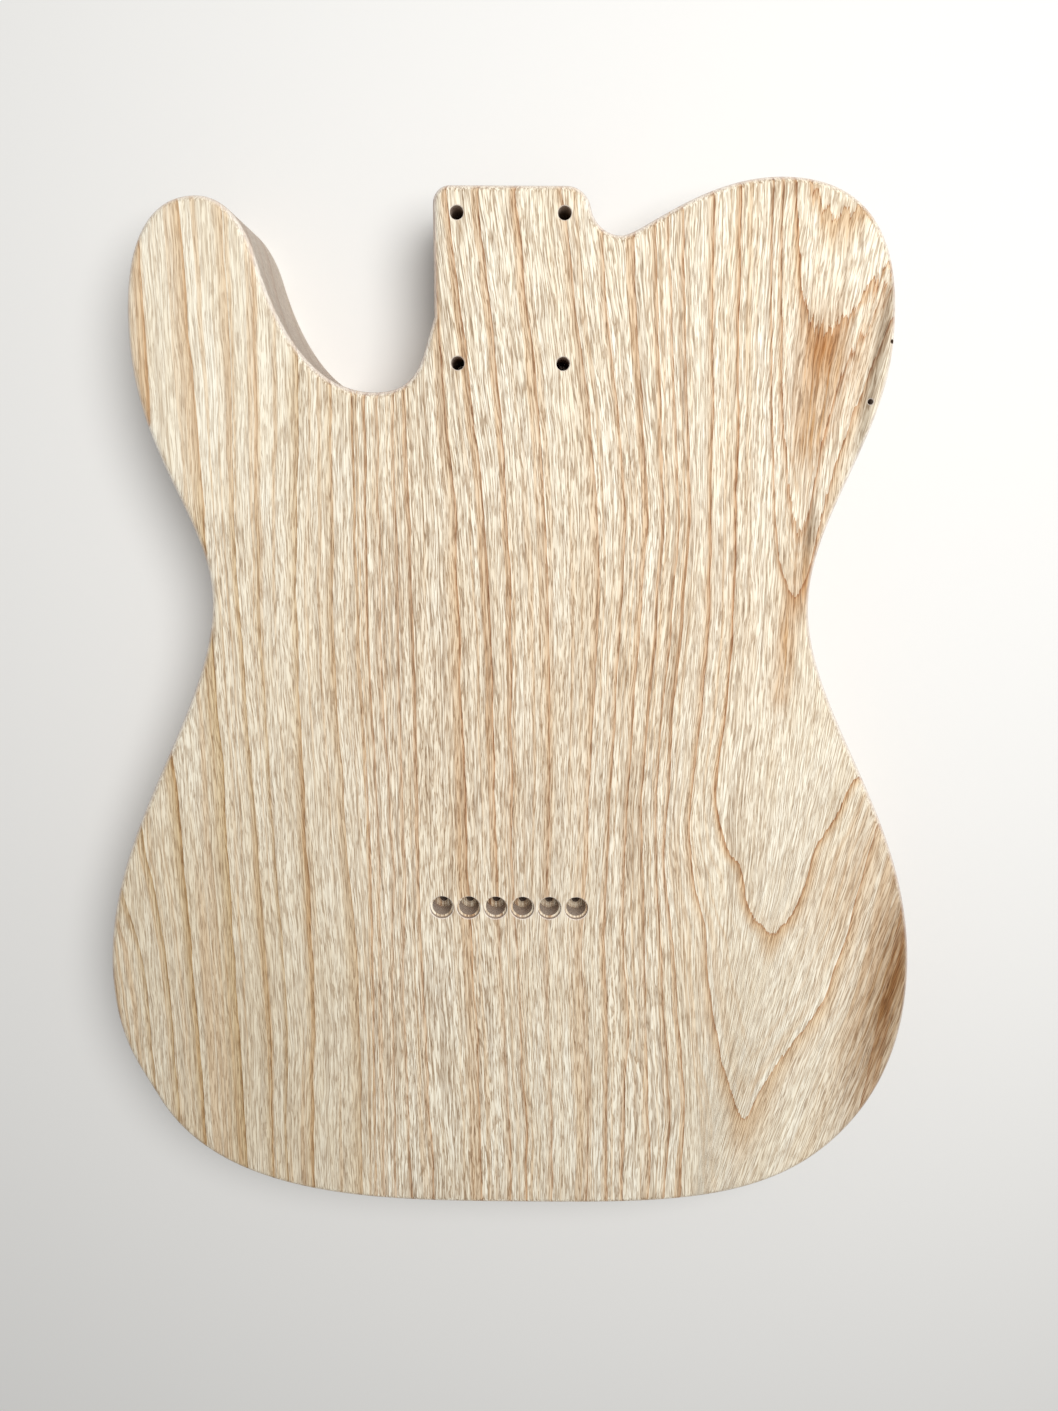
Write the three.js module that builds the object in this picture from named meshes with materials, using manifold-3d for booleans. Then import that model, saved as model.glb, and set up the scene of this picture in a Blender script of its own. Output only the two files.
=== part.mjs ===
// Bare electric guitar body with one cutaway: three boards glued edge to edge, shaped to the outline,
// rounded over along both rims, routed from the front and drilled from the back.
// Millimetres. The front face lies on z = 0 and the back face looks up. +Y runs towards the neck and
// +X towards the bass side. The origin is on the front face, under the middle of the outline's box.

import * as THREE from "three";
import { mergeVertices } from "three/addons/utils/BufferGeometryUtils.js";
import Module from "manifold-3d";

const wasm = await Module();
wasm.setup();

// Blank
const BODY_LENGTH = 407;
const THICKNESS = 44.45;
const RIM_RADIUS = 3;
const CENTRE_BOARD_WIDTH = 112;
const GLUE_LINE = 0.2;

// Lower bout and waist, widths across the body and heights above its bottom edge
const LOWER_BOUT_WIDTH = 325;
const LOWER_BOUT_UP = 102.5;
const WAIST_WIDTH = 226.5;
const WAIST_UP = 258.5;
const TREBLE_CORNER_INSET = 15.3;
const TREBLE_CORNER_UP = 48.5;
const TREBLE_CORNER_TURN = THREE.MathUtils.degToRad(-64);
const BASS_CORNER_INSET = 16.4;
const BASS_CORNER_UP = 42.5;
const BASS_CORNER_TURN = THREE.MathUtils.degToRad(56);

// Upper bout, with drops below the top of the bass shoulder
const UPPER_BOUT_WIDTH = 277;
const UPPER_BOUT_DROP = 53.5;
const SHOULDER_OUT = 95.7;
const DIP_OUT = 39.3;
const DIP_DROP = 19.6;
const DIP_RADIUS = 11.1;

// Heel, the tab that the neck bolts to
const HEEL_DROP = 3.3;
const HEEL_SIDE = 44.4;
const HEEL_TRIM = 0.35;
const HEEL_TREBLE_RADIUS = 6;
const HEEL_BASS_RADIUS = 9;

// Cutaway, its depth from the heel's end, and the horn beside it
const CUTAWAY_OUT = 50;
const CUTAWAY_DEPTH = 70.4;
const CUTAWAY_TURN = THREE.MathUtils.degToRad(-110);
const HORN_TIP_OUT = 111.5;
const HORN_TIP_DROP = 7;
const HORN_FACE_IN = 20.2;
const HORN_FACE_DROP = 19.7;
const HORN_FACE_TURN = THREE.MathUtils.degToRad(108);

// Each stretch's two handles, as shares of the straight distance between its ends
const BASS_CORNER_SHARES = [0.46, 0.34];
const BASS_BOUT_SHARES = [0.46, 0.16];
const BASS_WAIST_SHARES = [0.42, 0.27];
const BASS_SIDE_SHARES = [0.33, 0.35];
const BASS_SHOULDER_SHARES = [0.2, 0.63];
const DIP_SHARES = [0.475, 0.12];
const CUTAWAY_HEEL_SHARES = [0.39, 0.52];
const CUTAWAY_HORN_SHARES = [0.49, 0.06];
const HORN_INNER_SHARES = [0.62, 0.2];
const HORN_OUTER_SHARES = [0.26, 0.66];
const TREBLE_SIDE_SHARES = [0.45, 0.3];
const TREBLE_WAIST_SHARES = [0.27, 0.38];
const TREBLE_BOUT_SHARES = [0.52, 0.27];
const TREBLE_CORNER_SHARES = [0.35, 0.35];

// Neck pocket and its four screw holes
const NECK_POCKET_WIDTH = 55.9;
const NECK_POCKET_LENGTH = 76.2;
const NECK_POCKET_DEPTH = 15.9;
const NECK_POCKET_CORNER = 3.2;
const NECK_SCREW_ACROSS = 38.1;
const NECK_SCREW_ALONG = 50.8;
const NECK_SCREW_SETBACK = 9.5;
const NECK_SCREW_BORE = 4.8;

// String row: a flange seat and a ferrule bore from the back, and a string hole right through
const STRING_COUNT = 6;
const STRING_PITCH = 10.8;
const STRING_ROW_SETBACK = 193.2;
const STRING_BORE = 3.2;
const FERRULE_BORE = 7.9;
const FERRULE_DEPTH = 11;
const FLANGE_BORE = 9.4;
const FLANGE_DEPTH = 2.2;

// Pickup cavities
const NECK_PICKUP_WIDTH = 75;
const NECK_PICKUP_LENGTH = 23;
const NECK_PICKUP_DEPTH = 19;
const NECK_PICKUP_WALL = 6;
const BRIDGE_PICKUP_WIDTH = 88;
const BRIDGE_PICKUP_LENGTH = 32;
const BRIDGE_PICKUP_DEPTH = 25.4;
const BRIDGE_PICKUP_LEAD = 47;
const BRIDGE_PICKUP_SLANT = THREE.MathUtils.degToRad(13);
const PICKUP_CORNER = 6.4;
const CORNER_LIMIT_SHARE = 0.48;

// Control cavity, the jack bore into it, and the ways for the wires. The wood beside the cavity is
// shared out between the waist's side and the seam's side in the proportion of the two walls.
const CONTROL_WIDTH = 28;
const CONTROL_LENGTH = 140;
const CONTROL_FLOOR = 6.4;
const CONTROL_WALL = 12;
const CONTROL_SEAM_WALL = 17.05;
const CONTROL_LEAD = 84;
const CONTROL_CORNER = 12.7;
const JACK_BORE = 22.2;
const JACK_SETBACK = 20;
const WIRE_CHANNEL_WIDTH = 12.7;
const WIRE_CHANNEL_DEPTH = 12.7;
const WIRE_CHANNEL_OUT = 15;
const WIRE_BORE = 9.5;
const WIRE_BORE_DROP = 10;
const WIRE_BORE_SLANT = THREE.MathUtils.degToRad(9.5);

// Facets and the length by which a cutter runs past the wood
const OUTLINE_FACET = 6;
const ARC_FACET = 1.8;
const RIM_STEPS = 3;
const CORNER_STEPS = 5;
const BORE_SIDES = 24;
const OVERRUN = 8;

// Places that follow from the sizes
const seamX = CENTRE_BOARD_WIDTH / 2;
const boardX = seamX + GLUE_LINE;
const topY = BODY_LENGTH / 2;
const bottomY = -topY;
const heelY = topY - HEEL_DROP;
const heelOut = NECK_POCKET_WIDTH / 2 - HEEL_TRIM;
const pocketEndY = heelY - NECK_POCKET_LENGTH;
const stringRowY = pocketEndY - STRING_ROW_SETBACK;
const neckPickupY = pocketEndY - NECK_PICKUP_WALL - NECK_PICKUP_LENGTH / 2;
const bridgePickupY = stringRowY + BRIDGE_PICKUP_LEAD;
const controlRoom = WAIST_WIDTH / 2 - boardX - CONTROL_WIDTH;
const controlWall = controlRoom * (CONTROL_WALL / (CONTROL_WALL + CONTROL_SEAM_WALL));
const controlX = -(WAIST_WIDTH / 2 - controlWall - CONTROL_WIDTH / 2);
const controlTopY = stringRowY + CONTROL_LEAD;
const controlFootY = controlTopY - CONTROL_LENGTH;
const jackY = controlFootY + JACK_SETBACK;
const throughDepth = THICKNESS + 2 * OVERRUN;

// Outline

// A point of the outline with the direction in which the outline runs there.
function knot(x, y, turn) {
  return { at: new THREE.Vector2(x, y), way: new THREE.Vector2(Math.cos(turn), Math.sin(turn)) };
}

// A smooth stretch between two knots.
function stretch(from, to, [startShare, endShare]) {
  const span = from.at.distanceTo(to.at);
  const startHandle = from.at.clone().addScaledVector(from.way, startShare * span);
  const endHandle = to.at.clone().addScaledVector(to.way, -endShare * span);
  return new THREE.CubicBezierCurve(from.at, startHandle, endHandle, to.at);
}

function straight(from, to) {
  return new THREE.LineCurve(from, to);
}

const RIGHT = 0;
const UP = Math.PI / 2;
const LEFT = Math.PI;
const DOWN = -Math.PI / 2;

// Bass side, from the bottom edge up to the dip beside the heel.
function bassSide() {
  const bottom = knot(0, bottomY, RIGHT);
  const cornerX = LOWER_BOUT_WIDTH / 2 - BASS_CORNER_INSET;
  const corner = knot(cornerX, bottomY + BASS_CORNER_UP, BASS_CORNER_TURN);
  const bout = knot(LOWER_BOUT_WIDTH / 2, bottomY + LOWER_BOUT_UP, UP);
  const waist = knot(WAIST_WIDTH / 2, bottomY + WAIST_UP, UP);
  const upper = knot(UPPER_BOUT_WIDTH / 2, topY - UPPER_BOUT_DROP, UP);
  const shoulder = knot(SHOULDER_OUT, topY, LEFT);
  const dip = knot(DIP_OUT, topY - DIP_DROP, LEFT);
  return [
    stretch(bottom, corner, BASS_CORNER_SHARES),
    stretch(corner, bout, BASS_BOUT_SHARES),
    stretch(bout, waist, BASS_WAIST_SHARES),
    stretch(waist, upper, BASS_SIDE_SHARES),
    stretch(upper, shoulder, BASS_SHOULDER_SHARES),
    stretch(shoulder, dip, DIP_SHARES),
  ];
}

// The dip's hollow arc runs into the heel's round corner, then along the heel's end and down its side.
function heel() {
  const hollow = new THREE.Vector2(DIP_OUT, topY - DIP_DROP + DIP_RADIUS);
  const cornerY = heelY - HEEL_BASS_RADIUS;
  const reach = DIP_RADIUS + HEEL_BASS_RADIUS;
  const across = Math.sqrt(reach ** 2 - (hollow.y - cornerY) ** 2);
  const corner = new THREE.Vector2(hollow.x - across, cornerY);
  const meeting = Math.atan2(corner.y - hollow.y, corner.x - hollow.x);
  const trebleX = -heelOut + HEEL_TREBLE_RADIUS;
  const trebleY = heelY - HEEL_TREBLE_RADIUS;
  return [
    new THREE.ArcCurve(hollow.x, hollow.y, DIP_RADIUS, DOWN, meeting, true),
    new THREE.ArcCurve(corner.x, corner.y, HEEL_BASS_RADIUS, meeting + Math.PI, UP, false),
    straight(new THREE.Vector2(corner.x, heelY), new THREE.Vector2(trebleX, heelY)),
    new THREE.ArcCurve(trebleX, trebleY, HEEL_TREBLE_RADIUS, UP, LEFT, false),
    straight(new THREE.Vector2(-heelOut, trebleY), new THREE.Vector2(-heelOut, heelY - HEEL_SIDE)),
  ];
}

// The cutaway leaves the heel's side at a slight corner, and its far wall is the horn's inner face.
function cutaway() {
  const start = knot(-heelOut, heelY - HEEL_SIDE, CUTAWAY_TURN);
  const floor = knot(-CUTAWAY_OUT, heelY - CUTAWAY_DEPTH, LEFT);
  const tip = knot(-HORN_TIP_OUT, topY - HORN_TIP_DROP, LEFT);
  const face = knot(tip.at.x + HORN_FACE_IN, tip.at.y - HORN_FACE_DROP, HORN_FACE_TURN);
  return [
    stretch(start, floor, CUTAWAY_HEEL_SHARES),
    stretch(floor, face, CUTAWAY_HORN_SHARES),
    stretch(face, tip, HORN_INNER_SHARES),
  ];
}

// Treble side, from the horn's tip down to the bottom edge.
function trebleSide() {
  const tip = knot(-HORN_TIP_OUT, topY - HORN_TIP_DROP, LEFT);
  const upper = knot(-UPPER_BOUT_WIDTH / 2, topY - UPPER_BOUT_DROP, DOWN);
  const waist = knot(-WAIST_WIDTH / 2, bottomY + WAIST_UP, DOWN);
  const bout = knot(-LOWER_BOUT_WIDTH / 2, bottomY + LOWER_BOUT_UP, DOWN);
  const cornerX = TREBLE_CORNER_INSET - LOWER_BOUT_WIDTH / 2;
  const corner = knot(cornerX, bottomY + TREBLE_CORNER_UP, TREBLE_CORNER_TURN);
  const bottom = knot(0, bottomY, RIGHT);
  return [
    stretch(tip, upper, HORN_OUTER_SHARES),
    stretch(upper, waist, TREBLE_SIDE_SHARES),
    stretch(waist, bout, TREBLE_WAIST_SHARES),
    stretch(bout, corner, TREBLE_BOUT_SHARES),
    stretch(corner, bottom, TREBLE_CORNER_SHARES),
  ];
}

// Facets follow each stretch's length, and straight lines need none.
function stretchPoints(curve) {
  if (curve.isLineCurve) return [curve.v1];
  const facet = curve.isArcCurve ? ARC_FACET : OUTLINE_FACET;
  const steps = Math.ceil(curve.getLength() / facet);
  return curve.getPoints(steps).slice(0, -1);
}

function bodyOutline() {
  const stretches = [...bassSide(), ...heel(), ...cutaway(), ...trebleSide()];
  return new THREE.Shape(stretches.flatMap(stretchPoints));
}

// Solids

function solidOf(geometry) {
  const bare = geometry.index ? geometry.toNonIndexed() : geometry.clone();
  bare.deleteAttribute("normal");
  bare.deleteAttribute("uv");
  const merged = mergeVertices(bare);
  const vertProperties = new Float32Array(merged.attributes.position.array);
  const triVerts = new Uint32Array(merged.index.array);
  return new wasm.Manifold(new wasm.Mesh({ numProp: 3, vertProperties, triVerts }));
}

function geometryOf(solid) {
  const mesh = solid.getMesh();
  const geometry = new THREE.BufferGeometry();
  geometry.setAttribute("position", new THREE.BufferAttribute(mesh.vertProperties, mesh.numProp));
  geometry.setIndex(new THREE.BufferAttribute(mesh.triVerts, 1));
  const flat = geometry.toNonIndexed();
  flat.computeVertexNormals();
  return flat;
}

// The whole blank with both rims rounded over.
function blankSolid() {
  const geometry = new THREE.ExtrudeGeometry(bodyOutline(), {
    depth: THICKNESS - 2 * RIM_RADIUS,
    bevelThickness: RIM_RADIUS,
    bevelSize: RIM_RADIUS,
    bevelOffset: -RIM_RADIUS,
    bevelSegments: RIM_STEPS,
  });
  return solidOf(geometry.translate(0, 0, RIM_RADIUS));
}

// A router's pocket: a box with round corners, cut from below the front face up to a depth. The
// corners' radius stays under half of the shorter side.
function pocketSolid(width, length, corner, depth, x, y, turn = 0) {
  const shape = new THREE.Shape();
  const radius = Math.min(corner, CORNER_LIMIT_SHARE * Math.min(width, length));
  const inX = width / 2 - radius;
  const inY = length / 2 - radius;
  shape.absarc(inX, inY, radius, RIGHT, UP, false);
  shape.absarc(-inX, inY, radius, UP, LEFT, false);
  shape.absarc(-inX, -inY, radius, LEFT, LEFT + UP, false);
  shape.absarc(inX, -inY, radius, DOWN, RIGHT, false);
  const options = { depth: depth + OVERRUN, bevelEnabled: false, curveSegments: CORNER_STEPS };
  const geometry = new THREE.ExtrudeGeometry(shape, options);
  return solidOf(geometry.rotateZ(turn).translate(x, y, -OVERRUN));
}

// A drilled hole along Z between two heights.
function boreSolid(diameter, lowZ, highZ, x, y) {
  const geometry = new THREE.CylinderGeometry(diameter / 2, diameter / 2, highZ - lowZ, BORE_SIDES);
  return solidOf(geometry.rotateX(UP).translate(x, y, (lowZ + highZ) / 2));
}

function boxSolid(lowX, highX, lowY, highY, lowZ, highZ) {
  const geometry = new THREE.BoxGeometry(highX - lowX, highY - lowY, highZ - lowZ);
  geometry.translate((lowX + highX) / 2, (lowY + highY) / 2, (lowZ + highZ) / 2);
  return solidOf(geometry);
}

// Cutters

// The pocket runs out past the heel's end, and past its sides where no wood stands beside it.
function neckPocketCutter() {
  const length = NECK_POCKET_LENGTH + OVERRUN;
  const y = pocketEndY + length / 2;
  return pocketSolid(NECK_POCKET_WIDTH, length, NECK_POCKET_CORNER, NECK_POCKET_DEPTH, 0, y);
}

function neckScrewCutters() {
  const firstRowY = heelY - NECK_SCREW_SETBACK;
  const rows = [firstRowY, firstRowY - NECK_SCREW_ALONG];
  const columns = [-NECK_SCREW_ACROSS / 2, NECK_SCREW_ACROSS / 2];
  return rows.flatMap((y) => columns.map((x) => boreSolid(NECK_SCREW_BORE, 0, throughDepth, x, y)));
}

function stringCutters() {
  const cutters = [];
  for (let i = 0; i < STRING_COUNT; i += 1) {
    const x = (i - (STRING_COUNT - 1) / 2) * STRING_PITCH;
    const above = THICKNESS + OVERRUN;
    cutters.push(boreSolid(STRING_BORE, -OVERRUN, above, x, stringRowY));
    cutters.push(boreSolid(FERRULE_BORE, THICKNESS - FERRULE_DEPTH, above, x, stringRowY));
    cutters.push(boreSolid(FLANGE_BORE, THICKNESS - FLANGE_DEPTH, above, x, stringRowY));
  }
  return cutters;
}

function pickupCutters() {
  return [
    pocketSolid(NECK_PICKUP_WIDTH, NECK_PICKUP_LENGTH, PICKUP_CORNER, NECK_PICKUP_DEPTH, 0, neckPickupY),
    pocketSolid(
      BRIDGE_PICKUP_WIDTH,
      BRIDGE_PICKUP_LENGTH,
      PICKUP_CORNER,
      BRIDGE_PICKUP_DEPTH,
      0,
      bridgePickupY,
      BRIDGE_PICKUP_SLANT,
    ),
  ];
}

function controlCutters() {
  const depth = THICKNESS - CONTROL_FLOOR;
  const middleY = (controlTopY + controlFootY) / 2;
  const cavity = pocketSolid(CONTROL_WIDTH, CONTROL_LENGTH, CONTROL_CORNER, depth, controlX, middleY);
  const outerX = -LOWER_BOUT_WIDTH / 2 - OVERRUN;
  const jackLength = controlX - outerX;
  const jack = new THREE.CylinderGeometry(JACK_BORE / 2, JACK_BORE / 2, jackLength, BORE_SIDES);
  jack.rotateZ(UP).translate((controlX + outerX) / 2, jackY, THICKNESS / 2);
  return [cavity, solidOf(jack)];
}

// An open channel joins the two pickup cavities. A slanted bore, drilled in through the bridge
// pickup's cavity, leads on to the control cavity.
function wireCutters() {
  const channel = boxSolid(
    -WIRE_CHANNEL_OUT - WIRE_CHANNEL_WIDTH / 2,
    -WIRE_CHANNEL_OUT + WIRE_CHANNEL_WIDTH / 2,
    bridgePickupY,
    neckPickupY,
    -OVERRUN,
    WIRE_CHANNEL_DEPTH,
  );
  const endReach = BRIDGE_PICKUP_WIDTH / 2 - BRIDGE_PICKUP_LENGTH / 2;
  const startX = -endReach * Math.cos(BRIDGE_PICKUP_SLANT);
  const startY = bridgePickupY - endReach * Math.sin(BRIDGE_PICKUP_SLANT);
  const span = startX - controlX;
  const bore = new THREE.CylinderGeometry(WIRE_BORE / 2, WIRE_BORE / 2, span, BORE_SIDES);
  bore.rotateZ(UP).translate(-span / 2, 0, 0).rotateY(WIRE_BORE_SLANT);
  bore.translate(startX, startY, WIRE_BORE_DROP);
  return [channel, solidOf(bore)];
}

function machinedBody() {
  const cutters = [
    neckPocketCutter(),
    ...neckScrewCutters(),
    ...stringCutters(),
    ...pickupCutters(),
    ...controlCutters(),
    ...wireCutters(),
  ];
  return cutters.reduce((body, cutter) => body.subtract(cutter), blankSolid());
}

// Boards and glue

// Saws a solid along a plane across X, into what lies on the treble side of it and what is left.
function sawAt(solid, x) {
  const reachX = LOWER_BOUT_WIDTH / 2 + OVERRUN;
  const reachY = topY + OVERRUN;
  const trebleSide = boxSolid(-reachX, x, -reachY, reachY, -OVERRUN, THICKNESS + OVERRUN);
  return [solid.intersect(trebleSide), solid.subtract(trebleSide)];
}

function ashMaterial(color) {
  return new THREE.MeshStandardMaterial({ color, roughness: 0.72, metalness: 0 });
}

function glueMaterial() {
  return new THREE.MeshStandardMaterial({ color: 0xc3a070, roughness: 0.45, metalness: 0 });
}

function piece(name, solid, material) {
  const mesh = new THREE.Mesh(geometryOf(solid), material);
  mesh.name = name;
  return mesh;
}

const [trebleBoard, pastTreble] = sawAt(machinedBody(), -boardX);
const [trebleGlue, pastTrebleGlue] = sawAt(pastTreble, -seamX);
const [centreBoard, pastCentre] = sawAt(pastTrebleGlue, seamX);
const [bassGlue, bassBoard] = sawAt(pastCentre, boardX);

const group = new THREE.Group();
group.add(
  piece("treble_board", trebleBoard, ashMaterial(0xdcc8a2)),
  piece("treble_glue_line", trebleGlue, glueMaterial()),
  piece("centre_board", centreBoard, ashMaterial(0xe4d2ae)),
  piece("bass_glue_line", bassGlue, glueMaterial()),
  piece("bass_board", bassBoard, ashMaterial(0xd9c39b)),
);

export default group;
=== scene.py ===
# Looks of the bare electric guitar body: each CAD solid is rebuilt finely, with eased edges, and
# dressed as sanded ash. Sizes are millimetres until a mesh is made. The frame is the packed
# model's: the front face lies on z = 0, +Y runs towards the neck and +X towards the bass side.

import math

import bpy
import numpy as np
from mathutils import Matrix, Vector
from mathutils.geometry import delaunay_2d_cdt


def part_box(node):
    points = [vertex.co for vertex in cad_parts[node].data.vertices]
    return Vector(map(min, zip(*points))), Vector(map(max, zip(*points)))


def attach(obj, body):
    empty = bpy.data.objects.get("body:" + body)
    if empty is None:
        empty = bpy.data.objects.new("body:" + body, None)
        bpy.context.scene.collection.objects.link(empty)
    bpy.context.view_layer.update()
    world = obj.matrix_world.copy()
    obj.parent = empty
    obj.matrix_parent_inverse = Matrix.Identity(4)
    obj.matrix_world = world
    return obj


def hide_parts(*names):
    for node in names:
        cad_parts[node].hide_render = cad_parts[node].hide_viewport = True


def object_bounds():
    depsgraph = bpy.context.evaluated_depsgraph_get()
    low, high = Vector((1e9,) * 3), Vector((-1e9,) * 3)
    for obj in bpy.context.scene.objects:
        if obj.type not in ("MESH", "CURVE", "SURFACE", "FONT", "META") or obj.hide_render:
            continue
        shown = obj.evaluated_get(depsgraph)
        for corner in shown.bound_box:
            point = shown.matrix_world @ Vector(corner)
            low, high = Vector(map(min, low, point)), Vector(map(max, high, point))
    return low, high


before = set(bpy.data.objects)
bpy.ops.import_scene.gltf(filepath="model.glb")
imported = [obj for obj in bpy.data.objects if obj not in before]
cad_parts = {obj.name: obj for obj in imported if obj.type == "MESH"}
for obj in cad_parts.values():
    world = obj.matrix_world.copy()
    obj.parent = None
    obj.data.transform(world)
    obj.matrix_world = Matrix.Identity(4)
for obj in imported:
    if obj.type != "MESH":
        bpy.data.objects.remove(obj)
cad_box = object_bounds()

MM = 0.001

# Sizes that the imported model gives
low_corner, high_corner = (np.array(corner) / MM for corner in cad_box)
BODY_LENGTH = high_corner[1] - low_corner[1]
LOWER_BOUT_WIDTH = high_corner[0] - low_corner[0]
THICKNESS = high_corner[2] - low_corner[2]
SEAM_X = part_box("centre_board")[1].x / MM
BOARD_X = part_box("bass_glue_line")[1].x / MM

# Lower bout and waist, heights above the bottom edge
LOWER_BOUT_UP = 102.5
WAIST_WIDTH = 226.5
WAIST_UP = 258.5
TREBLE_CORNER_INSET = 15.3
TREBLE_CORNER_UP = 48.5
TREBLE_CORNER_TURN = math.radians(-64)
BASS_CORNER_INSET = 16.4
BASS_CORNER_UP = 42.5
BASS_CORNER_TURN = math.radians(56)

# Upper bout, heel, cutaway and horn, with drops below the top of the bass shoulder
UPPER_BOUT_WIDTH = 277
UPPER_BOUT_DROP = 53.5
SHOULDER_OUT = 95.7
DIP_OUT = 39.3
DIP_DROP = 19.6
DIP_RADIUS = 11.1
HEEL_DROP = 3.3
HEEL_SIDE = 44.4
HEEL_TRIM = 0.35
HEEL_TREBLE_RADIUS = 6
HEEL_BASS_RADIUS = 9
CUTAWAY_OUT = 50
CUTAWAY_DEPTH = 70.4
CUTAWAY_TURN = math.radians(-110)
HORN_TIP_OUT = 111.5
HORN_TIP_DROP = 7
HORN_FACE_IN = 20.2
HORN_FACE_DROP = 19.7
HORN_FACE_TURN = math.radians(108)

# Each stretch's two handles, as shares of the straight distance between its ends: from the bottom
# edge up to the dip, from the heel to the horn's tip, and from there down to the bottom edge
BASS_SHARES = ((0.46, 0.34), (0.46, 0.16), (0.42, 0.27), (0.33, 0.35), (0.2, 0.63), (0.475, 0.12))
CUTAWAY_SHARES = ((0.39, 0.52), (0.49, 0.06), (0.62, 0.2))
TREBLE_SHARES = ((0.26, 0.66), (0.45, 0.3), (0.27, 0.38), (0.52, 0.27), (0.35, 0.35))

# Neck pocket and its screw holes
NECK_POCKET_WIDTH = 55.9
NECK_POCKET_LENGTH = 76.2
NECK_POCKET_DEPTH = 15.9
NECK_POCKET_CORNER = 3.2
NECK_SCREW_ACROSS = 38.1
NECK_SCREW_ALONG = 50.8
NECK_SCREW_SETBACK = 9.5
NECK_SCREW_BORE = 4.8

# String row
STRING_COUNT = 6
STRING_PITCH = 10.8
STRING_ROW_SETBACK = 193.2
STRING_BORE = 3.2
FERRULE_BORE = 7.9
FERRULE_DEPTH = 11
FLANGE_BORE = 9.4
FLANGE_DEPTH = 2.2

# Pickup cavities, control cavity, jack bore and the ways for the wires
NECK_PICKUP_WIDTH = 75
NECK_PICKUP_LENGTH = 23
NECK_PICKUP_DEPTH = 19
NECK_PICKUP_WALL = 6
BRIDGE_PICKUP_WIDTH = 88
BRIDGE_PICKUP_LENGTH = 32
BRIDGE_PICKUP_DEPTH = 25.4
BRIDGE_PICKUP_LEAD = 47
BRIDGE_PICKUP_SLANT = math.radians(13)
PICKUP_CORNER = 6.4
CONTROL_WIDTH = 28
CONTROL_LENGTH = 140
CONTROL_FLOOR = 6.4
CONTROL_WALL = 12
CONTROL_LEAD = 84
CONTROL_CORNER = 12.7
JACK_BORE = 22.2
JACK_SETBACK = 20
WIRE_CHANNEL_WIDTH = 12.7
WIRE_CHANNEL_DEPTH = 12.7
WIRE_CHANNEL_OUT = 15
WIRE_BORE = 9.5
WIRE_BORE_DROP = 10
WIRE_BORE_SLANT = math.radians(9.5)

# Finish of the edges, and the two small pin holes beside the bass shoulder
RIM_RADIUS = 3
RIM_STEPS = 8
MOUTH_EASE = 0.3
PIN_HOLES = ((131, 127.3, 2.1), (137.5, 148.3, 1.6))
PIN_DEPTH = 16

# Fineness of the meshes, and the length by which a cutter runs past the wood
OUTLINE_STEP = 1.1
WALL_STEP = 4.6
CAP_STEP = (1.3, 4)
CAP_MARGIN = 0.45
BORE_STEP = 0.45
FLOOR_STEP = (3, 6)
CORNER_LEAST_STEPS = 6
OVERRUN = 8
CDT_NEARNESS = 1e-6
CDT_INSIDE_ONLY = 1
SHARP_ANGLE = math.radians(28)

# Places that follow from the sizes
TOP_Y = BODY_LENGTH / 2
BOTTOM_Y = -TOP_Y
HEEL_Y = TOP_Y - HEEL_DROP
HEEL_OUT = NECK_POCKET_WIDTH / 2 - HEEL_TRIM
POCKET_END_Y = HEEL_Y - NECK_POCKET_LENGTH
STRING_ROW_Y = POCKET_END_Y - STRING_ROW_SETBACK
NECK_PICKUP_Y = POCKET_END_Y - NECK_PICKUP_WALL - NECK_PICKUP_LENGTH / 2
BRIDGE_PICKUP_Y = STRING_ROW_Y + BRIDGE_PICKUP_LEAD
CONTROL_X = -(WAIST_WIDTH / 2 - CONTROL_WALL - CONTROL_WIDTH / 2)
CONTROL_TOP_Y = STRING_ROW_Y + CONTROL_LEAD
CONTROL_FOOT_Y = CONTROL_TOP_Y - CONTROL_LENGTH
JACK_Y = CONTROL_FOOT_Y + JACK_SETBACK

RIGHT = 0
UP = math.pi / 2
LEFT = math.pi
DOWN = -math.pi / 2

SANDED = 0
ROUTED = 1


# Camera. Its turns are radians, and its lens is told in pixels of the photo's height

CAMERA_AT = Vector((9.64, 92.17, 435.03)) * MM
CAMERA_TILT = -0.1980
CAMERA_PAN = 0.0053
CAMERA_ROLL = 0.0073
FOCAL_PIXELS = 1033.3
PHOTO_HEIGHT = 1411
SENSOR = 36
NEAR_CLIP = 0.01
FAR_CLIP = 20


def linked(name, data):
    """A new object in the scene."""
    made = bpy.data.objects.new(name, data)
    bpy.context.scene.collection.objects.link(made)
    return made


def make_camera():
    data = bpy.data.cameras.new("camera")
    data.sensor_width = SENSOR
    data.lens = FOCAL_PIXELS / PHOTO_HEIGHT * SENSOR
    data.clip_start = NEAR_CLIP
    data.clip_end = FAR_CLIP
    camera = linked("camera", data)
    turn = Matrix.Rotation(CAMERA_TILT, 4, "X") @ Matrix.Rotation(CAMERA_PAN, 4, "Y")
    turn = turn @ Matrix.Rotation(CAMERA_ROLL, 4, "Z")
    camera.matrix_world = Matrix.Translation(CAMERA_AT) @ turn
    bpy.context.scene.camera = camera


# Outline


def knot(x, y, turn):
    """A point of the outline with the direction in which the outline runs there."""
    return np.array([x, y]), np.array([math.cos(turn), math.sin(turn)])


def stretch(start, end, shares):
    """A smooth stretch between two knots, without its last point."""
    (a, way_a), (b, way_b) = start, end
    span = np.linalg.norm(b - a)
    near = a + shares[0] * span * way_a
    far = b - shares[1] * span * way_b
    steps = math.ceil(span / OUTLINE_STEP)
    t = (np.arange(steps) / steps)[:, None]
    s = 1 - t
    return a * s**3 + 3 * near * s**2 * t + 3 * far * s * t**2 + b * t**3


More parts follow.
